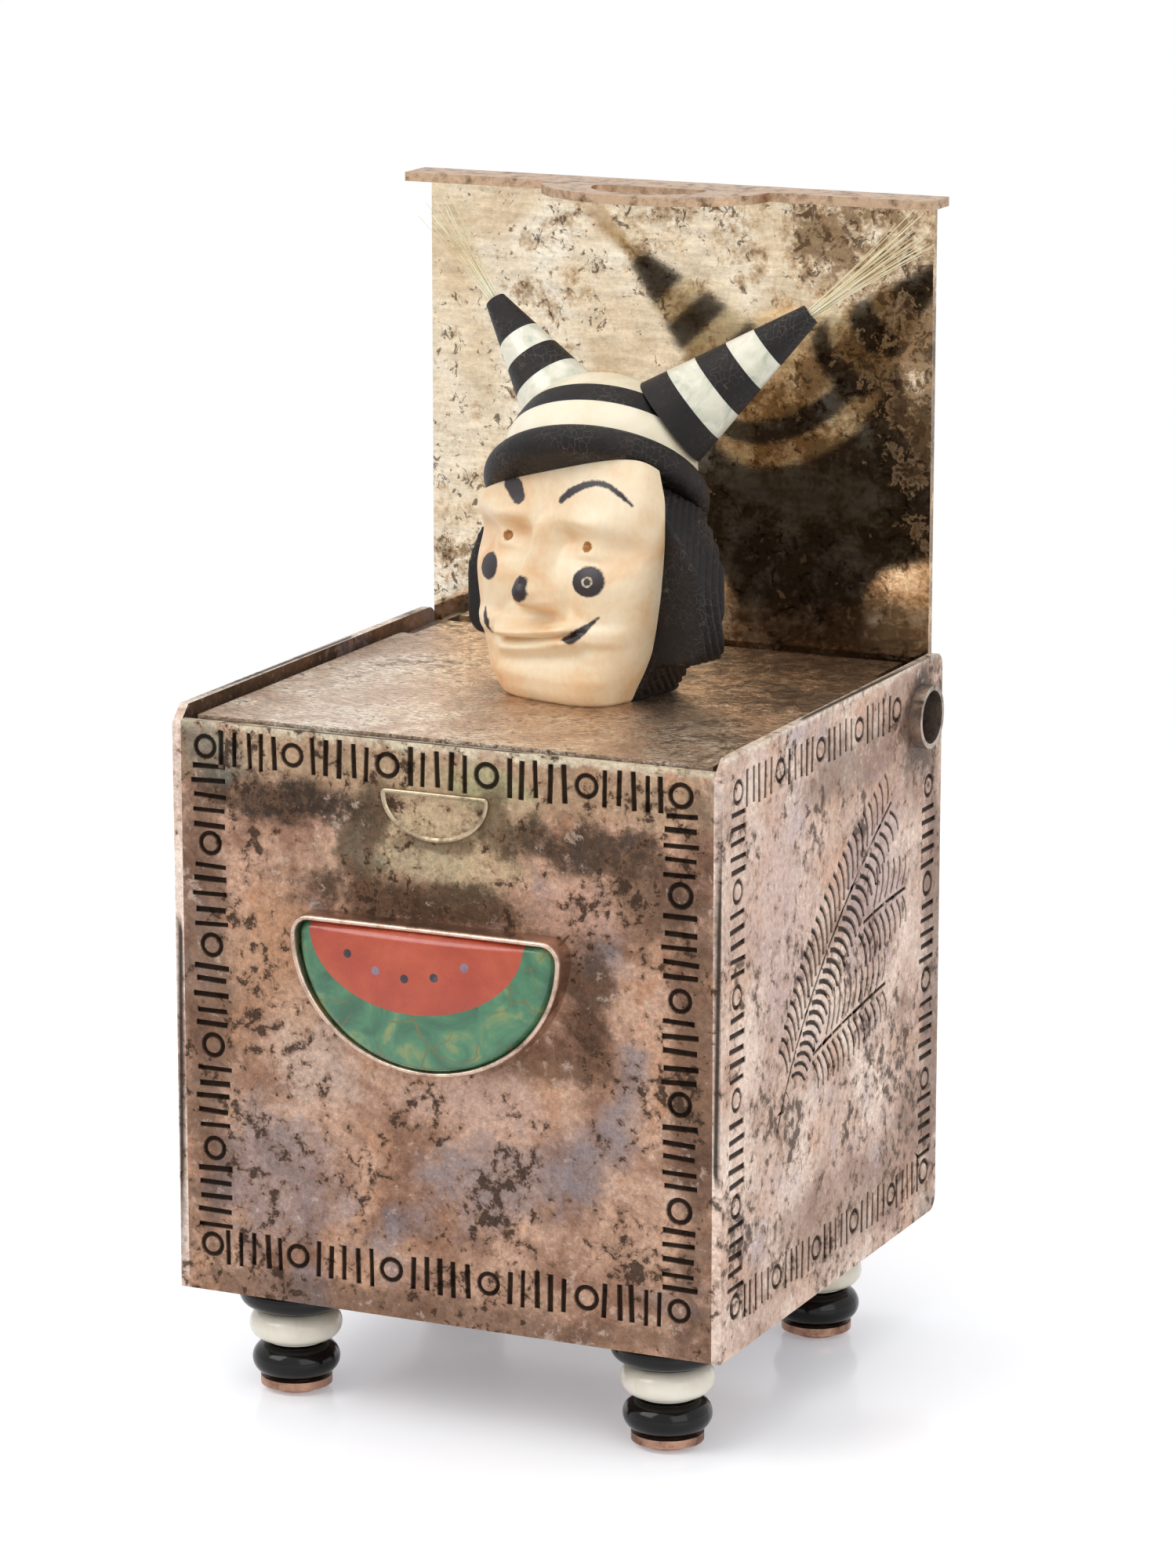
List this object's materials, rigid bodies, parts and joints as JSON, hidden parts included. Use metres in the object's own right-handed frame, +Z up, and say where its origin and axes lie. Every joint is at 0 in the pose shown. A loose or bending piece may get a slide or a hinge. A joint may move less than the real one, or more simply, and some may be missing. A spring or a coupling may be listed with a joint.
{
  "type": "jack in the box",
  "caption": "Footed square metal box with a hinged hasp lid; a striped horned clown head rides a sprung platform inside.",
  "frame": {"origin": "on the surface the feet stand on, below the middle of the whole model's bounding box", "axes": "+Z up, the box's front with the catch faces -Y, +X to the right as seen from the front"},
  "size_m": [0.0612, 0.0578, 0.1141],
  "materials": {
    "silver_patina": "oxidised sterling silver, pinkish patina, stamped",
    "silver_bright": "polished sterling silver with warm tarnish",
    "copper": "worn copper",
    "black_stone_polished": "polished jet",
    "black_stone_matte": "matte jet",
    "white_stone": "satin white shell and bone",
    "bone": "satin carved bone",
    "green_stone": "polished green turquoise",
    "red_coral": "polished coral",
    "spring_wire": "drawn steel wire",
    "bristle": "natural bristle"
  },
  "bodies": {
    "box": {"floor_plate": "silver_patina", "front_wall": "silver_patina", "back_wall": "silver_patina", "left_wall": "silver_patina", "right_wall": "silver_patina", "hinge_tube_left": "silver_patina", "hinge_tube_right": "silver_patina", "catch": "silver_patina", "bezel": "silver_patina", "melon_rind": "green_stone", "melon_flesh": "red_coral", "melon_seeds": "black_stone_matte", "upper_bead_1": "black_stone_polished", "upper_bead_2": "black_stone_polished", "upper_bead_3": "black_stone_polished", "upper_bead_4": "black_stone_polished", "white_bead_1": "white_stone", "white_bead_2": "white_stone", "white_bead_3": "white_stone", "white_bead_4": "white_stone", "lower_bead_1": "black_stone_polished", "lower_bead_2": "black_stone_polished", "lower_bead_3": "black_stone_polished", "lower_bead_4": "black_stone_polished", "foot_washers": "copper", "foot_rivets": "copper", "spring_seat": "silver_patina", "coil_spring": "spring_wire"},
    "jack": {"platform": "silver_bright", "spring_collar": "silver_patina", "head_pin": "silver_patina", "face": "bone", "hair": "black_stone_matte", "hat_brim": "black_stone_matte", "hat_white_band": "white_stone", "hat_black_band": "black_stone_matte", "hat_cap": "white_stone", "right_horn_root": "black_stone_matte", "right_horn_lower_band": "white_stone", "right_horn_middle": "black_stone_matte", "right_horn_upper_band": "white_stone", "right_horn_tip": "black_stone_matte", "right_tuft": "bristle", "left_horn_root": "black_stone_matte", "left_horn_lower_band": "white_stone", "left_horn_middle": "black_stone_matte", "left_horn_upper_band": "white_stone", "left_horn_tip": "black_stone_matte", "left_tuft": "bristle"},
    "lid": {"lid_plate": "silver_bright", "lid_flange": "silver_bright", "lid_ear_left": "silver_patina", "lid_ear_right": "silver_patina"}
  },
  "joints": [
    {"name": "lid_hinge", "type": "hinge", "parent": "box", "child": "lid", "pos_m": [0, 0.0234, 0.0634], "axis": [1, 0, 0], "range_deg": [0, 90]},
    {"name": "jack_slide", "type": "slide", "parent": "box", "child": "jack", "axis": [0, 0, -1], "range_m": [0, 0.05], "stiffness_N_per_m": 60, "springref_m": -0.0167, "deforming": ["coil_spring", "right_tuft", "left_tuft"]}
  ],
  "couplings": [
    {"joint": "jack_slide", "follows": "lid_hinge", "m_per_rad": 0.0318}
  ]
}
